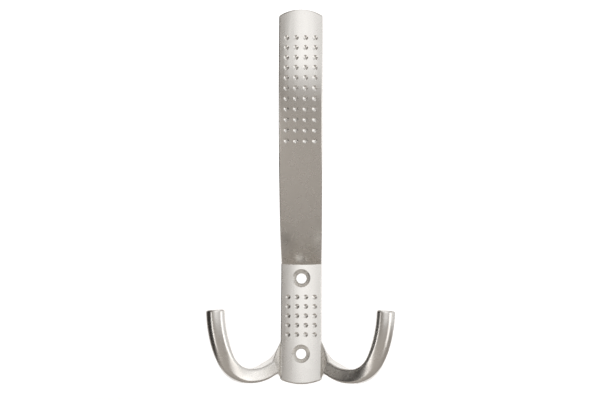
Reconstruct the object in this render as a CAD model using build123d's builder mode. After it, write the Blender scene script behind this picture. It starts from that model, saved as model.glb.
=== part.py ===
from build123d import *
import math
import os

# Coat hook cast in one piece: a flat-backed plate, a long prong above it and two side arms.
# The wall is the plane Y = 0, the front faces -Y and Z = 0 is halfway between the screws.

# Strip that forms the plate and the prong
strip_width = 20.0
crown_rise = 0.7  # how far the middle of the front stands above its long edges
edge_round = 0.7
corner_radius = 1.3

# Plate
plate_thickness = 3.2
plate_below = 33.2  # from the middle of the screws down to the lowest point
plate_above = 25.1  # and up to the crease where the prong leaves
bottom_arch = 2.1

# Prong, from the crease to its upright tip
prong_thickness = 3.4
prong_lean = 67.0  # degrees from upright at the crease
prong_radius = 103.0
prong_tip = 16.4
prong_arch = 2.9
prong_buried = 7.0

# Screw holes
screw_spacing = 37.0
screw_hole = 5.0
screw_head = 9.0
screw_angle = 90.0

# Dimples in the front of the plate and of the prong
dimple_diameter = 2.4
dimple_depth = 0.75
dimple_seam = 100  # degrees round to the line where the side of the cone closes
dimple_columns = 4
dimple_column_pitch = 4.45
dimple_row_pitch = 4.6
plate_rows = 5
prong_rows = 11
prong_top_row = 122.8  # height of the highest row

# Side arms, each along a path in an upright plane that is turned forward
arm_turn = 40.0
arm_width = 8.4
arm_thickness = 6.8
arm_corner = 1.3  # rounding of the two edges along its inner side
arm_back_round = 2.6  # and of the two along its outer side
arm_end_round = 1.1
arm_height = -22.3  # height of its middle where it leaves the plate
arm_slope = 27.0  # degrees down from level as it leaves
arm_root_run = 9.9
arm_heel_radius = 25.0
arm_bend_radius = 15.0
arm_bend_angle = 61.0
arm_rise_radius = 50.0
arm_rise_angle = 24.0
arm_end_run = 3.2

# Webs that join the side arms to the plate
web_thickness = 1.8  # where it meets the plate's side
web_setback = 0.3  # from the wall to its back
web_run = 6.5  # length over which it grows into the arm
web_flare_above = 6.2
web_flare_below = 4.7
web_seat = 0.4  # how far it runs on inside the arm
web_inset = 0.02  # and how far it stays below the arm's surface there

half_width = strip_width / 2
crown_radius = (half_width**2 + crown_rise**2) / (2 * crown_rise)
lean = math.radians(prong_lean)
prong_centre_y = prong_radius * math.cos(lean) - plate_thickness
prong_centre_z = plate_above + prong_radius * math.sin(lean)
prong_top = prong_centre_z + prong_tip
plate_top = plate_above + prong_thickness / 4  # hidden inside the root of the prong
turn = math.radians(arm_turn)
arm_plane = Plane(
    origin=(half_width, -web_thickness / 2 - web_setback, 0),
    x_dir=(math.cos(turn), -math.sin(turn), 0),
    z_dir=(-math.sin(turn), -math.cos(turn), 0),
)


def strip_section(thickness, rounding=0.0):
    """Cross-section with its crown line at the origin and a flat back at Y = thickness."""
    with BuildSketch() as section:
        with BuildLine():
            front = ThreePointArc((-half_width, crown_rise), (0, 0), (half_width, crown_rise))
            Polyline(front @ 1, (half_width, thickness), (-half_width, thickness), front @ 0)
        make_face()
        if rounding:
            fillet(section.vertices(), rounding)
    return section.sketch


def end_outline(square_z, peak_z, arch):
    """Front outline of a strip from a square end to an arched one with rounded corners."""
    corner_z = peak_z - math.copysign(arch, peak_z - square_z)
    with BuildSketch() as outline:
        with BuildLine():
            end = ThreePointArc((-half_width, corner_z), (0, peak_z), (half_width, corner_z))
            Polyline(end @ 1, (half_width, square_z), (-half_width, square_z), end @ 0)
        make_face()
        corners = outline.vertices().sort_by(lambda corner: abs(corner.Y - corner_z))[:2]
        fillet(corners, corner_radius)
    return outline.sketch


def front_plane(x, z):
    """Plane on the crowned front at a place seen from the front, facing squarely outwards."""
    tilt = 0.0
    front_y = -plate_thickness
    if z > plate_above:
        tilt = math.asin(max(prong_centre_z - z, 0) / prong_radius)
        front_y = prong_centre_y - prong_radius * math.cos(tilt)
    inward = Vector(0, math.cos(tilt), math.sin(tilt))
    drop = crown_radius - math.sqrt(crown_radius**2 - x**2)
    return Plane(Vector(x, front_y, z) + inward * drop, x_dir=(1, 0, 0), z_dir=-inward)


def dimples(rows, middle_z):
    """Cut a grid of cones square to the front, centred on the strip at middle_z."""
    grid = GridLocations(dimple_column_pitch, dimple_row_pitch, dimple_columns, rows)
    spots = [place.position for place in grid]
    planes = [front_plane(spot.X, spot.Y + middle_z) for spot in spots]
    with Locations(*[plane.offset(-dimple_depth) for plane in planes]):
        Cone(
            0,
            dimple_diameter,
            2 * dimple_depth,
            rotation=(0, 0, dimple_seam),
            align=(Align.CENTER, Align.CENTER, Align.MIN),
            mode=Mode.SUBTRACT,
        )


def arm_section():
    """Cross-section of an arm, with its outer side at the top."""
    with BuildSketch() as section:
        Rectangle(arm_width, arm_thickness)
        fillet(section.vertices().group_by(Axis.Y)[0], arm_corner)
        fillet(section.vertices().group_by(Axis.Y)[-1], arm_back_round)
    return section.sketch


def across_start(run):
    """Plane across the straight start of the arm, at a run from the plate."""
    return Plane(origin=start @ (run / arm_root_run), x_dir=arm_plane.z_dir, z_dir=start % 1)


# Plate
with BuildPart() as plate:
    with BuildSketch(Plane.XY.offset(-plate_below)):
        with Locations((0, -plate_thickness)):
            add(strip_section(plate_thickness))
    extrude(amount=plate_below + plate_top)
    with BuildSketch(Plane.XZ):
        add(end_outline(plate_top, -plate_below, bottom_arch))
    extrude(amount=plate_thickness, mode=Mode.INTERSECT)
    front = plate.faces().filter_by(GeomType.CYLINDER).sort_by(SortBy.AREA)[-1]
    fillet(front.edges().sort_by(Axis.Z)[:-1], edge_round)
    with Locations(front_plane(0, screw_spacing / 2), front_plane(0, -screw_spacing / 2)):
        CounterSinkHole(screw_hole / 2, screw_head / 2, counter_sink_angle=screw_angle)
    dimples(plate_rows, 0)

# Prong: a bow that leaves the plate at the crease, and an upright tip
with BuildPart() as bow:
    with BuildLine(Plane.YZ) as spine:
        leaving = Vector(0, -math.sin(lean), math.cos(lean))
        crease = Vector(0, -plate_thickness, plate_above)
        buried = Line(crease - leaving * prong_buried, crease)
        JernArc(buried @ 1, buried % 1, prong_radius, -prong_lean)
    with BuildSketch(Plane(origin=spine.line @ 0, x_dir=(1, 0, 0), z_dir=spine.line % 0)):
        add(strip_section(prong_thickness, edge_round))
    sweep(path=spine.line)
    split(bisect_by=Plane.XZ)

with BuildPart() as tip:
    with BuildSketch(Plane.XY.offset(prong_centre_z)):
        with Locations((0, prong_centre_y - prong_radius)):
            add(strip_section(prong_thickness))
    extrude(amount=prong_tip)
    with BuildSketch(Plane.XZ):
        add(end_outline(prong_centre_z, prong_top, prong_arch))
    extrude(amount=prong_radius, mode=Mode.INTERSECT)
    front = tip.faces().filter_by(GeomType.CYLINDER).sort_by(SortBy.AREA)[-1]
    back = tip.faces().sort_by(Axis.Y)[-1]
    rims = front.edges().sort_by(Axis.Z)[1:] + back.edges().sort_by(Axis.Z)[1:]
    fillet(rims, edge_round)

with BuildPart() as prong:
    add(bow.part)
    add(tip.part)
    dimples(prong_rows, prong_top_row - dimple_row_pitch * (prong_rows - 1) / 2)

# Right arm: a bar bent forward and up, and the web at its root
with BuildPart() as arm:
    with BuildLine(arm_plane):
        start = PolarLine((0, arm_height), arm_root_run, -arm_slope)
    with BuildLine(arm_plane) as path:
        heel = JernArc(start @ 1, start % 1, arm_heel_radius, arm_slope)
        bend = JernArc(heel @ 1, heel % 1, arm_bend_radius, arm_bend_angle)
        rise = JernArc(bend @ 1, bend % 1, arm_rise_radius, arm_rise_angle)
        Line(rise @ 1, rise @ 1 + (rise % 1) * arm_end_run)
    with BuildSketch(across_start(arm_root_run)):
        add(arm_section())
    sweep(path=path.line)
    fillet(arm.faces().sort_by(Axis.Z)[-1].edges(), arm_end_round)

with BuildPart() as web:
    for inward, grown in ((corner_radius, 0), (0, 0), (0, 0.2), (0, 0.5)):
        above = web_flare_above * (1 - grown) ** 2
        below = web_flare_below * (1 - grown) ** 2
        middle = start @ (grown * web_run / arm_root_run) + Vector(-inward, 0, (above - below) / 2)
        facing = Vector(math.cos(grown * turn), -math.sin(grown * turn), 0)
        depth = web_thickness + grown * (arm_width - web_thickness)
        height = arm_thickness / math.cos(math.radians(arm_slope)) + above + below
        with BuildSketch(Plane(origin=middle, x_dir=facing.cross(Vector(0, 0, 1)), z_dir=facing)):
            RectangleRounded(depth, height, min(arm_corner, 0.45 * depth))
    for run in (web_run, (web_run + arm_root_run) / 2, arm_root_run, arm_root_run + web_seat):
        with BuildSketch(across_start(run)):
            offset(arm_section(), amount=-web_inset)
    loft()

with BuildPart() as side_arm:
    add(arm.part)
    add(web.part)

# The casting
with BuildPart() as hook:
    add(plate.part)
    add(prong.part)
    add(side_arm.part)
    mirror(side_arm.part, about=Plane.YZ)
os.makedirs("parts", exist_ok=True)
hook.part.label = "hook"
export_step(hook.part, "parts/hook.step")
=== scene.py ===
import math

import bmesh
import bpy
import numpy as np
from mathutils import Matrix, Vector


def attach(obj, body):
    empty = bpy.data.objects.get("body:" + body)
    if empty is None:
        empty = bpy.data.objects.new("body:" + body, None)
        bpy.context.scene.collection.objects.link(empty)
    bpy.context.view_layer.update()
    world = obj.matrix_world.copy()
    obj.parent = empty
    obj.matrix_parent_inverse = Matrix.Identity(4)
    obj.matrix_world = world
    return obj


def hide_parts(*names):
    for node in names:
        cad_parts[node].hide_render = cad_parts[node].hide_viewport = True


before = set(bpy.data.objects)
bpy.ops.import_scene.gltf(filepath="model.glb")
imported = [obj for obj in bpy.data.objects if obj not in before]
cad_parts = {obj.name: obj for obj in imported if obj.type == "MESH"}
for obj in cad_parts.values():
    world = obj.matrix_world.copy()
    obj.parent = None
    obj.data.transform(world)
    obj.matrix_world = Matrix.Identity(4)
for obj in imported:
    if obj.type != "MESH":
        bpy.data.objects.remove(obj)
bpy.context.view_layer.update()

# Coat hook in satin nickel. The back of its plate is Y = 0, the front faces -Y and Z = 0 is halfway between
# the screws. The hook's own sizes are in millimetres and degrees, those of the stage in metres.

MM = 0.001
half_strip = 10.0

# Side arms, each along a line in an upright plane that is turned forward
arm_turn = 40.0
arm_width = 8.4
arm_thickness = 6.8
arm_corner = 1.3
arm_end_round = 1.1
arm_height = -22.3  # height of its middle where it leaves the strip
arm_slope = 27.0  # degrees down from level as it leaves
arm_root_run = 9.9
arm_arcs = ((25.0, 27.0), (15.0, 61.0), (50.0, 24.0))  # radius and angle of each arc, from the root
arm_end_run = 3.2

# Web between the strip's side and the arm's bar
web_thickness = 1.8
web_setback = 0.3  # from the wall to its back
web_run = 6.5
web_flare_above = 6.2
web_flare_below = 4.7
web_buried = 1.3

# How the bar softens on its way from the lowest place to its end
soften_early = 1.0  # it starts this far before the lowest place
soften_run = 26.0
softer_front = 2.1  # what the corner's radius gains
softer_inner = 0.7
softer_back = 1.5
front_crown = 1.0
wider_each_side = 1.0
slimmer_each_side = 0.7

# Camera of the photograph
camera_place = (8.8, -629.3, -37.5)
camera_pitch = 8.62
camera_yaw = -0.89
camera_roll = 0.32
picture_width = 600.0  # pixels
focal_length = 1274.0  # pixels


# Shader helpers

def node(tree, kind, place, **settings):
    """One node of a material or a group, with its settings by name."""
    made = tree.nodes.new(kind)
    made.location = place
    for name, value in settings.items():
        setattr(made, name, value)
    return made


def ramp(tree, source, span, values, place, smooth=False):
    """A value that goes from the first to the second of two values while its source crosses a span."""
    made = node(tree, "ShaderNodeMapRange", place)
    if smooth:
        made.interpolation_type = "SMOOTHSTEP"
    made.inputs["From Min"].default_value = span[0]
    made.inputs["From Max"].default_value = span[1]
    made.inputs["To Min"].default_value = values[0]
    made.inputs["To Max"].default_value = values[1]
    tree.links.new(source, made.inputs["Value"])
    return made.outputs["Result"]


def joined(tree, operation, first, second, place):
    """Two values added or multiplied."""
    made = node(tree, "ShaderNodeMath", place, operation=operation)
    tree.links.new(first, made.inputs[0])
    tree.links.new(second, made.inputs[1])
    return made.outputs["Value"]


def empty_material(name):
    """A material with no nodes but its output."""
    material = bpy.data.materials.new(name)
    material.use_nodes = True
    tree = material.node_tree
    tree.nodes.clear()
    return material, tree, node(tree, "ShaderNodeOutputMaterial", (800, 0))


# Finish

def grain_group():
    """Fine matt grain of plated metal: small noise as height, roughness and a faint cloud in the tone."""
    group = bpy.data.node_groups.new("matt_plating_grain", "ShaderNodeTree")
    inputs = {"Scale": "NodeSocketFloat", "Roughness": "NodeSocketFloat", "Tone": "NodeSocketColor"}
    outputs = {"Color": "NodeSocketColor", "Roughness": "NodeSocketFloat", "Height": "NodeSocketFloat"}
    for name, kind in inputs.items():
        group.interface.new_socket(name, in_out="INPUT", socket_type=kind)
    for name, kind in outputs.items():
        group.interface.new_socket(name, in_out="OUTPUT", socket_type=kind)
    take = node(group, "NodeGroupInput", (-900, 0))
    give = node(group, "NodeGroupOutput", (700, 0))
    where = node(group, "ShaderNodeTexCoord", (-900, 300))
    fine = node(group, "ShaderNodeTexNoise", (-600, 300))
    fine.inputs["Detail"].default_value = 3.0
    cloud = node(group, "ShaderNodeTexNoise", (-600, 0))
    cloud.inputs["Scale"].default_value = 220.0
    cloud.inputs["Detail"].default_value = 4.0
    uneven = ramp(group, cloud.outputs["Fac"], (0.3, 0.7), (-0.015, 0.015), (-300, 0))
    shade = ramp(group, cloud.outputs["Fac"], (0.3, 0.7), (0.975, 1.0), (-300, -300))
    tint = node(group, "ShaderNodeVectorMath", (0, -300), operation="SCALE")
    link = group.links.new
    link(where.outputs["Object"], fine.inputs["Vector"])
    link(where.outputs["Object"], cloud.inputs["Vector"])
    link(take.outputs["Scale"], fine.inputs["Scale"])
    link(take.outputs["Tone"], tint.inputs[0])
    link(shade, tint.inputs["Scale"])
    link(tint.outputs["Vector"], give.inputs["Color"])
    link(joined(group, "ADD", uneven, take.outputs["Roughness"], (0, 0)), give.inputs["Roughness"])
    link(fine.outputs["Fac"], give.inputs["Height"])
    return group


def satin_nickel():
    """Satin nickel plating: a warm grey metal with a matt, slightly uneven grain."""
    material, tree, out = empty_material("satin_nickel_plating")
    metal = node(tree, "ShaderNodeBsdfPrincipled", (300, 0))
    metal.inputs["Metallic"].default_value = 1.0
    grain = node(tree, "ShaderNodeGroup", (-200, 0), node_tree=grain_group())
    grain.inputs["Scale"].default_value = 2600.0
    grain.inputs["Roughness"].default_value = 0.27
    grain.inputs["Tone"].default_value = (0.74, 0.72, 0.69, 1.0)
    bump = node(tree, "ShaderNodeBump", (50, -250))
    bump.inputs["Strength"].default_value = 0.006
    bump.inputs["Distance"].default_value = 0.0002
    link = tree.links.new
    link(grain.outputs["Color"], metal.inputs["Base Color"])
    link(grain.outputs["Roughness"], metal.inputs["Roughness"])
    link(grain.outputs["Height"], bump.inputs["Height"])
    link(bump.outputs["Normal"], metal.inputs["Normal"])
    link(metal.outputs["BSDF"], out.inputs["Surface"])
    return material


# Casting

def eased(value):
    """The smooth step 3 t^2 - 2 t^3 of a value held between 0 and 1."""
    t = np.clip(value, 0.0, 1.0)
    return t * t * (3.0 - 2.0 * t)


def rounded_rings(centre, outer, front, half_height, half_depth, corners, crown):
    """Closed rings, one per station: a rectangle with four quarter rounds and a crowned front.

    A ring's point is its centre plus outer times u plus front times v. On the quarter round of radius r,
    u = h - r + r cos a and v = d - r + r sin a for the half height h, the half depth d and the angle a.
    Straight runs join the rounds, and the one along the front has points of its own. The front half then
    stands out by the crown times 1 - (u / h) squared.
    """
    arc_points = 15
    front_points = 8
    angles = np.linspace(0.0, 0.5 * np.pi, arc_points)
    all_u = []
    all_v = []
    for quarter, (side_u, side_v) in enumerate(((1, 1), (-1, 1), (-1, -1), (1, -1))):
        angle = angles + quarter * 0.5 * np.pi
        radius = corners[quarter][:, None]
        all_u.append(side_u * (half_height[:, None] - radius) + radius * np.cos(angle))
        all_v.append(side_v * (half_depth[:, None] - radius) + radius * np.sin(angle))
    share = np.linspace(0.0, 1.0, front_points + 2)[1:-1]
    for values in (all_u, all_v):
        values.insert(1, values[0][:, -1:] * (1.0 - share) + values[1][:, :1] * share)
    u = np.concatenate(all_u, axis=1)
    v = np.concatenate(all_v, axis=1)
    v += crown[:, None] * (1.0 - (u / half_height[:, None]) ** 2) * eased(v / half_depth[:, None])
    return centre[:, None] + outer[:, None] * u[..., None] + front[:, None] * v[..., None]


def skin_of_rings(rings):
    """Points and faces: quads between neighbouring rings, and a fan from each end ring to its middle."""
    count, around = rings.shape[:2]
    points = np.concatenate([rings.reshape(-1, 3), rings[:1].mean(1), rings[-1:].mean(1)])
    station, place = np.meshgrid(np.arange(count - 1), np.arange(around), indexing="ij")
    after = (place + 1) % around
    quads = np.stack([
        station * around + place,
        (station + 1) * around + place,
        (station + 1) * around + after,
        station * around + after,
    ], axis=-1).reshape(-1, 4)
    low = np.arange(around)
    high = low + (count - 1) * around
    first = np.stack([np.full(around, count * around), low, np.roll(low, -1)], axis=-1)
    last = np.stack([np.full(around, count * around + 1), np.roll(high, -1), high], axis=-1)
    return points, quads.tolist() + first.tolist() + last.tolist()


def arm_line():
    """Stations along the arm: run, slope, level and height in its plane, and how far the bar has softened.

    The slope stays the same along the straight start, then grows evenly with the length through the arcs. The
    place is the running sum of the slope's cosine and sine, taken halfway between the stations.
    """
    steps = [(0.0, 0.0), (arm_root_run, 0.0)]
    steps += [(radius * math.radians(bend), bend) for radius, bend in arm_arcs]
    steps += [(arm_end_run, 0.0)]
    lengths, bends = np.array(steps).T
    knots = np.cumsum(lengths)
    slopes = np.radians(np.cumsum(bends) - arm_slope)
    run = np.linspace(0.0, knots[-1] - arm_end_round, 260)
    between = np.interp(0.5 * (run[1:] + run[:-1]), knots, slopes)
    level = np.concatenate([[0.0], np.cumsum(np.cos(between) * np.diff(run))])
    rise = np.concatenate([[0.0], np.cumsum(np.sin(between) * np.diff(run))])
    lowest = knots[2]
    softened = eased((run - lowest + soften_early) / soften_run)
    return run, np.interp(run, knots, slopes), level, arm_height + rise, softened


def right_arm():
    """The right arm: a rounded bar carried along its line, with a flared web at its root.

    Over the web's run g goes from 0 to 1: the section turns from the strip's side to the line, its flare is
    (1 - g) squared and its depth grows with g. As the bar rises, its front turns about the line to face the
    room, and gets a crown and softer edges. At the end the rings shrink along a quarter circle.
    """
    turn = math.radians(arm_turn)
    run, slope, level, height, softened = arm_line()
    grown = np.clip(run / web_run, 0.0, 1.0)
    above = web_flare_above * (1.0 - grown) ** 2
    below = web_flare_below * (1.0 - grown) ** 2
    centre = np.stack([
        half_strip + level * math.cos(turn),
        -(web_thickness / 2 + web_setback) - level * math.sin(turn),
        height + 0.5 * (above - below),
    ], axis=-1)

    facing = grown * turn
    front = np.stack([-np.sin(facing), -np.cos(facing), np.zeros_like(run)], axis=-1)
    square = np.stack([
        np.sin(slope) * math.cos(turn),
        -np.sin(slope) * math.sin(turn),
        -np.cos(slope),
    ], axis=-1)
    outer = grown[:, None] * square + (1.0 - grown[:, None]) * np.array([0.0, 0.0, -1.0])
    outer /= np.linalg.norm(outer, axis=1, keepdims=True)
    twist = (softened * turn)[:, None]
    front, outer = (
        front * np.cos(twist) + outer * np.sin(twist),
        outer * np.cos(twist) - front * np.sin(twist),
    )

    bar_height = arm_thickness * (grown + (1.0 - grown) / math.cos(math.radians(arm_slope)))
    bar_depth = web_thickness + grown * (arm_width - web_thickness)
    half_height = 0.5 * (bar_height + above + below) + wider_each_side * softened
    half_depth = 0.5 * bar_depth - slimmer_each_side * softened
    tight = np.minimum(arm_corner, 0.9 * half_depth)
    corners = [
        tight + softer_front * softened,
        tight + softer_inner * softened,
        tight,
        tight + softer_back * softened,
    ]
    crown = front_crown * softened

    shrink = np.radians(np.linspace(0.0, 84.0, 9))[1:]
    inset = arm_end_round * (1.0 - np.cos(shrink))
    ahead = np.array([
        np.cos(slope[-1]) * math.cos(turn),
        -np.cos(slope[-1]) * math.sin(turn),
        np.sin(slope[-1]),
    ])
    buried = centre[:1] - np.array([[web_buried, 0.0, 0.0]])
    end = centre[-1] + ahead * (arm_end_round * np.sin(shrink))[:, None]
    many = np.ones((len(shrink), 1))
    rings = rounded_rings(
        np.concatenate([buried, centre, end]),
        np.concatenate([outer[:1], outer, outer[-1] * many]),
        np.concatenate([front[:1], front, front[-1] * many]),
        np.concatenate([half_height[:1], half_height, half_height[-1] - inset]),
        np.concatenate([half_depth[:1], half_depth, half_depth[-1] - inset]),
        [np.concatenate([radius[:1], radius, radius[-1] - inset]) for radius in corners],
        np.concatenate([crown[:1], crown, crown[-1] * np.cos(shrink)]),
    )
    return skin_of_rings(rings * MM)


def strip_skin():
    """The plate and the prong: the solid's own skin, welded, and closed where the arms leave its sides."""
    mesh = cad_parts["hook"].data.copy()
    shell = bmesh.new()
    shell.from_mesh(mesh)
    bmesh.ops.remove_doubles(shell, verts=shell.verts, dist=2e-6)
    side = (half_strip + 0.001) * MM
    beside = [face for face in shell.faces if abs(face.calc_center_median().x) > side]
    bmesh.ops.delete(shell, geom=beside, context="FACES")
    rims = [edge for edge in shell.edges if edge.is_boundary]
    bmesh.ops.holes_fill(shell, edges=rims, sides=0)
    bmesh.ops.triangulate(shell, faces=[face for face in shell.faces if len(face.verts) > 4])
    return mesh, shell


def build_casting(metal):
    """The hook as one piece: the strip and both arms, smooth but for the dimples' rims and other edges."""
    mesh, shell = strip_skin()
    points, faces = right_arm()
    for side in (1.0, -1.0):
        arm = bpy.data.meshes.new("arm")
        outwards = faces if side > 0 else [face[::-1] for face in faces]
        arm.from_pydata((points * (side, 1.0, 1.0)).tolist(), [], outwards)
        shell.from_mesh(arm)
        bpy.data.meshes.remove(arm)
    sharp = math.radians(24.0)
    for edge in shell.edges:
        edge.smooth = len(edge.link_faces) == 2 and edge.calc_face_angle(0.0) < sharp
    for face in shell.faces:
        face.smooth = True
    shell.to_mesh(mesh)
    shell.free()
    mesh.name = "hook_casting"
    mesh.materials.clear()
    mesh.materials.append(metal)
    casting = bpy.data.objects.new("hook_casting", mesh)
    bpy.context.scene.collection.objects.link(casting)
    even = casting.modifiers.new("even_normals", "WEIGHTED_NORMAL")
    even.mode = "FACE_AREA"
    even.weight = 50
    even.keep_sharp = True
    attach(casting, "root")
    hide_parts("hook")


# Stage

def plain_paint(name, tone):
    """Plain matt paint of a warm grey."""
    material, tree, out = empty_material(name)
    paint = node(tree, "ShaderNodeBsdfDiffuse", (0, 0))
    paint.inputs["Color"].default_value = (tone, 0.94 * tone, 0.88 * tone, 1.0)
    tree.links.new(paint.outputs["BSDF"], out.inputs["Surface"])
    return material


def lit_white(name, glow):
    """White paint with a little glow in the picture and in the metal, and clear as seen from its back."""
    material, tree, out = empty_material(name)
    paint = node(tree, "ShaderNodeBsdfDiffuse", (0, 0))
    paint.inputs["Color"].default_value = (0.8, 0.8, 0.8, 1.0)
    path = node(tree, "ShaderNodeLightPath", (-800, -200))
    seen = joined(tree, "ADD", path.outputs["Is Camera Ray"], path.outputs["Is Glossy Ray"], (-600, -200))
    seen = joined(tree, "ADD", seen, path.outputs["Is Transmission Ray"], (-400, -200))
    strength = ramp(tree, seen, (0.0, 1.0), (0.0, glow), (-200, -200))
    light = node(tree, "ShaderNodeEmission", (0, -200))
    both = node(tree, "ShaderNodeAddShader", (250, 0))
    geometry = node(tree, "ShaderNodeNewGeometry", (250, 300))
    clear = node(tree, "ShaderNodeBsdfTransparent", (250, -200))
    side = node(tree, "ShaderNodeMixShader", (500, 0))
    link = tree.links.new
    link(strength, light.inputs["Strength"])
    link(paint.outputs["BSDF"], both.inputs[0])
    link(light.outputs["Emission"], both.inputs[1])
    link(geometry.outputs["Backfacing"], side.inputs["Fac"])
    link(both.outputs["Shader"], side.inputs[1])
    link(clear.outputs["BSDF"], side.inputs[2])
    link(side.outputs["Shader"], out.inputs["Surface"])
    return material


def flat_sheet(name, corners, material):
    """A flat stage sheet through four corners, given anticlockwise as seen from its front."""
    mesh = bpy.data.meshes.new(name)
    mesh.from_pydata(corners, [], [(0, 1, 2, 3)])
    mesh.update()
    mesh.materials.append(material)
    sheet = bpy.data.objects.new(name, mesh)
    bpy.context.scene.collection.objects.link(sheet)
    return sheet


def build_stage():
    """A white board well behind the hook, a pale floor well below it, and a dark flag at its left.

    The metal mirrors all three. The board is too far back to show in the arms' outer edges.
    """
    board_y = 0.35
    flat_sheet(
        "board",
        [(-0.3, board_y, -0.25), (0.3, board_y, -0.25), (0.3, board_y, 0.36), (-0.3, board_y, 0.36)],
        lit_white("board_paint", 0.45),
    )
    floor_z = -0.45
    flat_sheet(
        "floor",
        [(-3.0, -3.0, floor_z), (3.0, -3.0, floor_z), (3.0, 3.0, floor_z), (-3.0, 3.0, floor_z)],
        plain_paint("floor_paint", 0.45),
    )
    flag_x = -0.3
    flag = flat_sheet(
        "left_flag",
        [(flag_x, -0.22, -0.18), (flag_x, 0.16, -0.18), (flag_x, 0.16, 0.32), (flag_x, -0.22, 0.32)],
        plain_paint("flag_cloth", 0.05),
    )
    flag.visible_camera = False


# Light

def softbox(name, place, width, height, power):
    """A rectangular area light that faces the hook and stays out of the picture."""
    lamp = bpy.data.lights.new(name, "AREA")
    lamp.shape = "RECTANGLE"
    lamp.size = width
    lamp.size_y = height
    lamp.energy = power
    box = bpy.data.objects.new(name, lamp)
    bpy.context.scene.collection.objects.link(box)
    box.location = place
    box.rotation_euler = (-Vector(place)).to_track_quat("-Z", "Y").to_euler()
    box.visible_camera = False
    return box


def surround_level(tree):
    """Brightness of the studio by direction: X from left to right, Y from the room to the wall, Z upwards."""
    where = node(tree, "ShaderNodeTexCoord", (-2000, 0))
    split = node(tree, "ShaderNodeSeparateXYZ", (-1800, 0))
    tree.links.new(where.outputs["Generated"], split.inputs["Vector"])
    across, inwards, upwards = split.outputs

    def slope(source, span, values, place):
        return ramp(tree, source, span, values, place, smooth=True)

    # A large bright window in front, above a dimmer lower half
    window_left = slope(across, (-0.34, 0.0), (0.18, 1.74), (-1400, 600))
    window_right = slope(across, (0.02, 0.36), (1.0, 0.44), (-1400, 350))
    window_top = slope(upwards, (0.1, 0.4), (1.0, 0.8), (-1400, 100))
    window = joined(tree, "MULTIPLY", window_left, window_right, (-1150, 500))
    window = joined(tree, "MULTIPLY", window, window_top, (-950, 400))
    lower_half = slope(across, (-0.50, 0.30), (0.2, 0.62), (-1400, -150))
    level = node(tree, "ShaderNodeMix", (-700, 0), data_type="FLOAT")
    tree.links.new(slope(upwards, (-0.22, 0.12), (0.0, 1.0), (-1400, -400)), level.inputs["Factor"])
    tree.links.new(lower_half, level.inputs["A"])
    tree.links.new(window, level.inputs["B"])

    # A pale wall on either side, and another behind the flag
    left_near = slope(across, (-0.60, -0.40), (0.42, 0.0), (-1400, -650))
    left_far = slope(across, (-0.95, -0.72), (0.0, 1.0), (-1400, -900))
    left_side = joined(tree, "MULTIPLY", left_near, left_far, (-1150, -750))
    right_side = slope(across, (0.36, 0.8), (0.0, 0.42), (-1400, -1150))
    sides = joined(tree, "ADD", left_side, right_side, (-950, -900))
    level = joined(tree, "ADD", level.outputs["Result"], sides, (-500, 0))
    behind_flag = slope(across, (-0.96, -0.86), (0.62, 0.0), (-700, 300))
    level = joined(tree, "ADD", level, behind_flag, (-350, 0))

    # Everything is a little dimmer behind the hook
    dimmer = slope(inwards, (-0.1, 0.45), (1.0, 0.72), (-700, 550))
    return joined(tree, "MULTIPLY", level, dimmer, (-200, 0))


def build_surround():
    """The studio round the hook, with a warmer tint where it is dark."""
    world = bpy.data.worlds.new("studio")
    bpy.context.scene.world = world
    world.use_nodes = True
    tree = world.node_tree
    tree.nodes.clear()
    level = surround_level(tree)
    tint = node(tree, "ShaderNodeMix", (0, -300), data_type="RGBA")
    tint.inputs["A"].default_value = (1.0, 0.9, 0.8, 1.0)
    tint.inputs["B"].default_value = (1.0, 1.0, 1.0, 1.0)
    surround = node(tree, "ShaderNodeBackground", (200, 0))
    out = node(tree, "ShaderNodeOutputWorld", (400, 0))
    link = tree.links.new
    link(ramp(tree, level, (0.15, 0.9), (0.0, 1.0), (-200, -300), smooth=True), tint.inputs["Factor"])
    link(tint.outputs["Result"], surround.inputs["Color"])
    link(level, surround.inputs["Strength"])
    link(surround.outputs["Background"], out.inputs["Surface"])


def build_light():
    """A large soft key from the upper left, a soft box in front of each arm, and the studio round them."""
    key = softbox("upper_left_key", (-0.75, -1.1, 0.95), 0.9, 0.9, 14.0)
    key.visible_glossy = False
    softbox("left_box", (-0.46, -0.46, -0.17), 0.26, 0.34, 0.36)
    softbox("right_box", (0.52, -0.36, -0.14), 0.42, 0.36, 0.54)
    build_surround()


# Camera

def build_camera():
    """The photograph's camera: in front of the hook, a little below its middle, looking up."""
    pitch = math.radians(camera_pitch)
    yaw = math.radians(camera_yaw)
    roll = math.radians(camera_roll)
    ahead = Vector((math.sin(yaw) * math.cos(pitch), math.cos(yaw) * math.cos(pitch), math.sin(pitch)))
    level_right = Vector((math.cos(yaw), -math.sin(yaw), 0.0))
    level_up = level_right.cross(ahead)
    right = level_right * math.cos(roll) + level_up * math.sin(roll)
    up = level_up * math.cos(roll) - level_right * math.sin(roll)
    lens = bpy.data.cameras.new("camera")
    lens.sensor_fit = "HORIZONTAL"
    lens.sensor_width = 36.0
    lens.lens = lens.sensor_width * focal_length / picture_width
    camera = bpy.data.objects.new("camera", lens)
    bpy.context.scene.collection.objects.link(camera)
    turned = Matrix((right, up, -ahead)).transposed().to_4x4()
    camera.matrix_world = Matrix.Translation(Vector(camera_place) * MM) @ turned
    bpy.context.scene.camera = camera


build_casting(satin_nickel())
build_stage()
build_light()
build_camera()
bpy.context.scene.view_settings.view_transform = "Standard"
